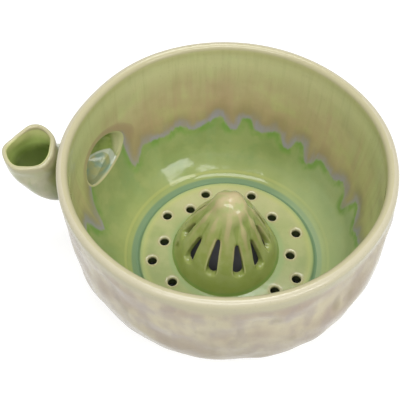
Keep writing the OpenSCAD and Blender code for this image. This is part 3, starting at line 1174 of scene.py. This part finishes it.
def dome_glaze():
    """Olive glaze on the dome, which has run off its cap and breaks pale on every edge."""
    made, tree, mm, (_, _, z) = new_finish("olive_glaze_dome")
    ridge = add(tree, "Attribute", attribute_name="turn")["Fac"]
    base = coat(tree, "#9ea960", "#adb475", ((mm, 7, 3), 0.35, 0.65))
    base = coat(tree, base, "#93a152", (z, 36, 18), share=0.7)
    base = coat(tree, base, "#b0b77c", (z, 42, 60))
    base = coat(tree, base, "#c4b68c", (z, 53, 60.5), ((mm, 7, 2), 0.34, 0.6), share=0.85)
    base = coat(tree, base, "#7ba058", (z, 15.5, 12.5), share=0.7)
    base = coat(tree, base, "#cdb895", (ridge, 0.04, 0.15), (z, 29, 40), share=0.55)
    base = coat(tree, base, "#869a4c", (ridge, -0.03, -0.12), share=0.5)
    base = coat(tree, base, "#cdcc98", (ridge, 0.12, 0.42), share=0.8)
    return fire(made, tree, mm, base)


def foot_clay():
    """Bare buff stoneware where the bowl stands, matt and speckled with grog, under cream glaze
    that was wiped off the foot. Grog is about 0.6 mm, as it is drawn."""
    made, tree, mm, (_, _, z) = new_finish("bare_stoneware_foot")
    clay = coat(tree, "#b9a684", "#a08a68", ((mm, 0.6, 3), 0.45, 0.7))
    waves = add(tree, "TexNoise", {"Vector": mm, "Scale": 1 / 8, "Detail": 2})[0]
    wavy = add(tree, "Math", {0: waves, 1: 1.2, 2: z}, operation="MULTIPLY_ADD")[0]
    return fire(made, tree, mm, coat(tree, clay, "#c3bba0", (wavy, 2.8, 3.3)), rough=0.5)


# Assembly


def finish_piece(piece, node, materials, choose=None, crisp=False, quiet=()):
    """Gives a piece its glazes and shading, and puts it in the place of its CAD node. A crisp
    piece keeps the edges where it turns by more than 50 degrees."""
    for material in materials:
        piece.data.materials.append(material)
    if choose:
        for face in piece.data.polygons:
            face.material_index = choose(face)
    take(piece)
    if crisp:
        bpy.ops.object.shade_smooth_by_angle(angle=radians(50))
    else:
        bpy.ops.object.shade_smooth()
    feel_edges(piece, quiet)
    piece.vertex_groups.clear()
    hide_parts(node)
    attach(piece, "root")


wall = turned_wall()
dimple(wall)
wobble(wall)
whole_wall = twin(wall, "whole_wall")
wall = cut_port(wall, whole_wall)
spout = built_spout(whole_wall)
bpy.data.objects.remove(whole_wall)

tunnel = marked(wall, "port_4", "port_5", "port_6", "tunnel", "port_outside")
seam = [np.array(spout.data.vertices[number].co) / MM for number in marked(spout, "root_3")]
feel_run(wall)
feel_port(wall)
feel_root(wall, seam)
feel_root(spout, seam)
bore = bore_glaze()


def wall_side(face):
    """Outside glaze, inside glaze, or the bore's glaze in the port's tunnel."""
    x, y, z = face.center / MM
    if tunnel.issuperset(face.vertices):
        return 2
    if hypot(x, y) > LIP_R - LIP_ROUND and z > 90:
        return 0
    inwards = face.normal.x * x + face.normal.y * y < 0
    return 1 if inwards and face.normal.z > -0.9 else 0


def spout_side(face):
    """Cream glaze outside, and the bore's glaze where a face looks at the middle of the tube."""
    local = SPOUT_FRAME.inverted() @ face.center / MM
    if local.z > BEND_R:
        middle = Vector((BEND_R, 0, local.z))
    elif local.x < 0:
        middle = Vector((local.x, 0, 0))
    else:
        centre = Vector((0, 0, BEND_R))
        middle = centre + BEND_R * Vector((local.x, 0, local.z - BEND_R)).normalized()
    looks = (SPOUT_FRAME.to_3x3().inverted() @ face.normal).dot((local - middle).normalized())
    return 1 if looks < -0.3 else 0


finish_piece(
    wall, "bowl_wall", [outside_glaze(), inside_glaze(), bore], wall_side,
    crisp=True, quiet=["port_outside"],
)
finish_piece(
    spout, "spout", [spout_glaze(), bore], spout_side,
    crisp=True, quiet=["root_bore", "root_3"],
)
finish_piece(turned_floor(), "strainer_floor", [floor_glaze()], crisp=True)
finish_piece(turned_foot(), "foot_ring", [foot_clay()])
finish_piece(fluted_dome(), "strainer_dome", [dome_glaze()])


# Table, light and camera


def pale_table():
    """A plain pale table. It shows a little brighter to the camera, so that it reads as white but
    keeps the bowl's shadow. Under the foot it is painted dark grey, as painted shade where it is
    seen through the slots."""
    bpy.ops.object.select_all(action="DESELECT")
    bpy.ops.mesh.primitive_plane_add(size=8)
    table = fresh("pale_table")
    made, tree, mm, _ = new_finish("matt_white_table")
    reach = add(tree, "VectorMath", {0: mm}, operation="LENGTH")["Value"]
    edge = {"Value": reach, "From Min": 0.86 * FOOT_R, "From Max": 0.97 * FOOT_R}
    open_table = add(tree, "MapRange", edge, interpolation_type="SMOOTHSTEP")[0]
    # Painted shade: dark grey under the foot, pale outside it
    colour = {0: open_table, 6: paint("#727276"), 7: paint("#b9b9b7")}
    matt = add(tree, "BsdfDiffuse", {"Color": add(tree, "Mix", colour, data_type="RGBA")[2]})[0]
    ray = add(tree, "LightPath")
    seen = {0: ray["Is Camera Ray"], 1: ray["Is Glossy Ray"]}
    seen = add(tree, "Math", seen, operation="MAXIMUM")[0]
    lit = add(tree, "Math", {0: seen, 1: open_table}, operation="MULTIPLY")[0]
    strength = add(tree, "Math", {0: lit, 1: 0.7}, operation="MULTIPLY")[0]
    lift = add(tree, "Emission", {"Color": (1, 1, 1, 1), "Strength": strength})[0]
    add(tree, "OutputMaterial", {0: add(tree, "AddShader", {0: matt, 1: lift})[0]})
    table.data.materials.append(made)


def lamp(name, azimuth, elevation, distance, size, radiance):
    """A soft lamp of so many metres by so many, seen from the bowl in this direction."""
    flat = cos(radians(elevation))
    away = Vector((
        flat * cos(radians(azimuth)), flat * sin(radians(azimuth)), sin(radians(elevation)),
    ))
    bowl_middle = Vector((0, 0, 0.04))
    bpy.ops.object.light_add(type="AREA", location=bowl_middle + distance * away)
    made = bpy.context.object
    made.name = name
    made.rotation_euler = (-away).to_track_quat("-Z", "Y").to_euler()
    made.data.shape = "RECTANGLE"
    made.data.size, made.data.size_y = size
    made.data.energy = radiance * pi * size[0] * size[1]


def studio():
    """Even pale surroundings, a window to the front right, a wide soft lamp in front of the bowl,
    one overhead and a small one high at the back."""
    world = bpy.data.worlds.new("studio")
    bpy.context.scene.world = world
    world.use_nodes = True
    tree = world.node_tree
    tree.nodes.clear()
    ray = add(tree, "LightPath")
    seen = {0: ray["Is Camera Ray"], 1: ray["Is Transmission Ray"]}
    white = add(tree, "Math", seen, operation="MAXIMUM")[0]
    strength = add(tree, "MapRange", {"Value": white, "To Min": 0.43, "To Max": 1.0})[0]
    sky = add(tree, "Background", {"Color": (1, 1, 1, 1), "Strength": strength})[0]
    add(tree, "OutputWorld", {0: sky})
    lamp("window", -40, 36.5, 1.2, (0.46, 0.27), 5.2)
    lamp("overhead_softbox", 90, 80, 1.3, (0.6, 0.6), 4.2)
    lamp("front_softbox", -92, 59, 1.4, (1.2, 0.46), 5.0)
    lamp("back_lamp", 78, 66, 1.4, (0.24, 0.24), 8)


def camera():
    """The photograph's view from in front and above; the photograph was 400 by 400."""
    place = Vector((0, -0.22605, 0.36605))
    tilt, pan, roll = radians(53.448), radians(-3.437), radians(-0.425)
    ahead = Vector((sin(pan) * cos(tilt), cos(pan) * cos(tilt), -sin(tilt)))
    right = ahead.cross(Vector((0, 0, 1))).normalized()
    up = right.cross(ahead)
    across = cos(roll) * right + sin(roll) * up
    upright = -sin(roll) * right + cos(roll) * up
    turned = Matrix((across, upright, -ahead)).transposed().to_4x4()
    bpy.ops.object.camera_add()
    made = bpy.context.object
    made.name = "photo_view"
    made.matrix_world = Matrix.Translation(place) @ turned
    made.data.lens = 63
    made.data.sensor_width = 36
    made.data.clip_start = 0.01
    bpy.context.scene.camera = made


pale_table()
studio()
camera()
bpy.context.scene.view_settings.view_transform = "Standard"
